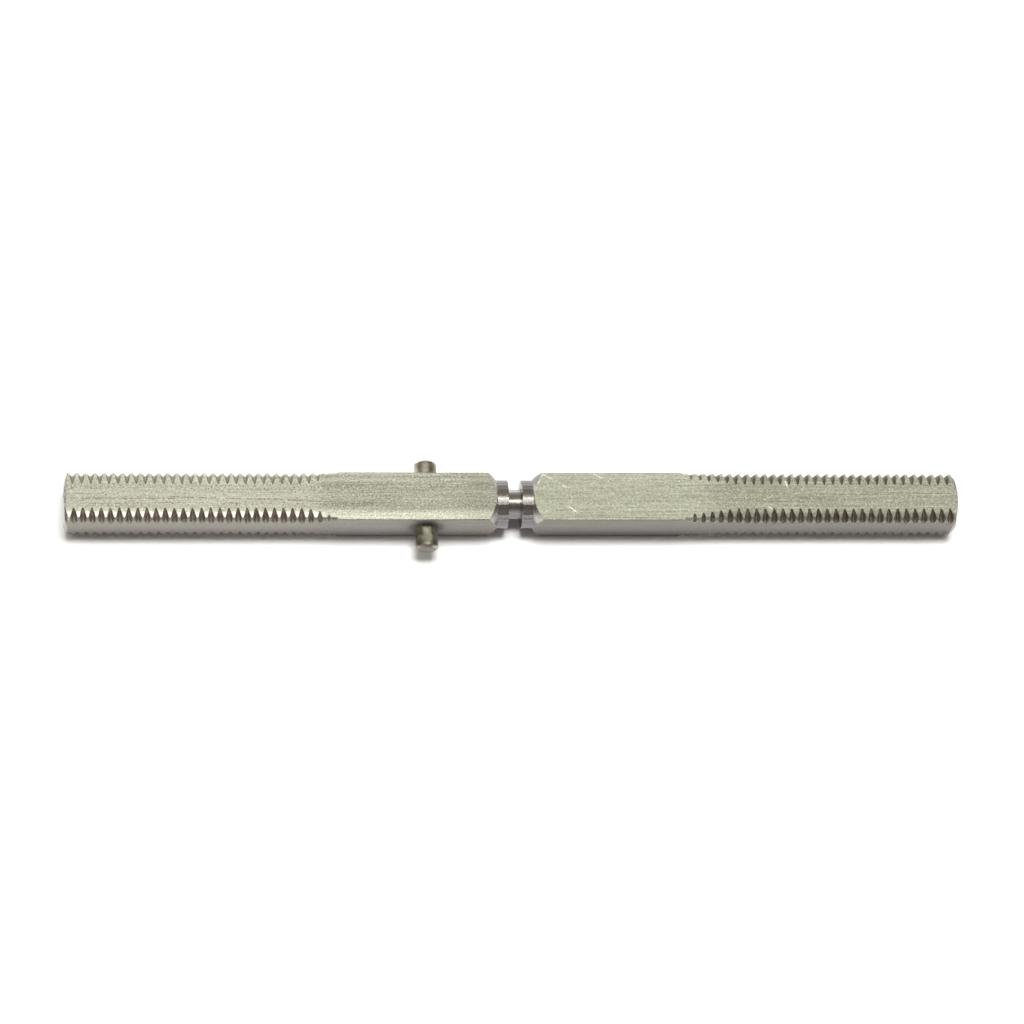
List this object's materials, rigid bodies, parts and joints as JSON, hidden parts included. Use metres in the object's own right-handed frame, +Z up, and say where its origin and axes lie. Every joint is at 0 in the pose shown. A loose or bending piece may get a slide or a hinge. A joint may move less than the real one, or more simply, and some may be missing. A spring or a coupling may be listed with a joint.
{
  "type": "swivel door spindle",
  "caption": "Square steel door spindle in halves joined end to end by a swivel, corners threaded at the outer ends, with a stop pin across one half.",
  "frame": {"origin": "under the centre of the swivel, on the plane of the bottom flats", "axes": "+X along the bar towards the plain half, +Y square to the bar along the stop pin, +Z up through the top flats"},
  "size_m": [0.127, 0.0132, 0.0071],
  "materials": {
    "bar_steel": "bright drawn steel, oily dark thread grooves",
    "stud_steel": "fine turned steel",
    "pin_steel": "ground steel with a dull olive-brown film"
  },
  "bodies": {
    "pinned": {"pinned_half": "bar_steel", "stop_pin": "pin_steel", "swivel_stud": "stud_steel"},
    "plain": {"plain_half": "bar_steel"}
  },
  "joints": [
    {"name": "swivel", "type": "hinge", "parent": "pinned", "child": "plain", "pos_m": [0, 0, 0.00357], "axis": [1, 0, 0], "continuous": true}
  ]
}
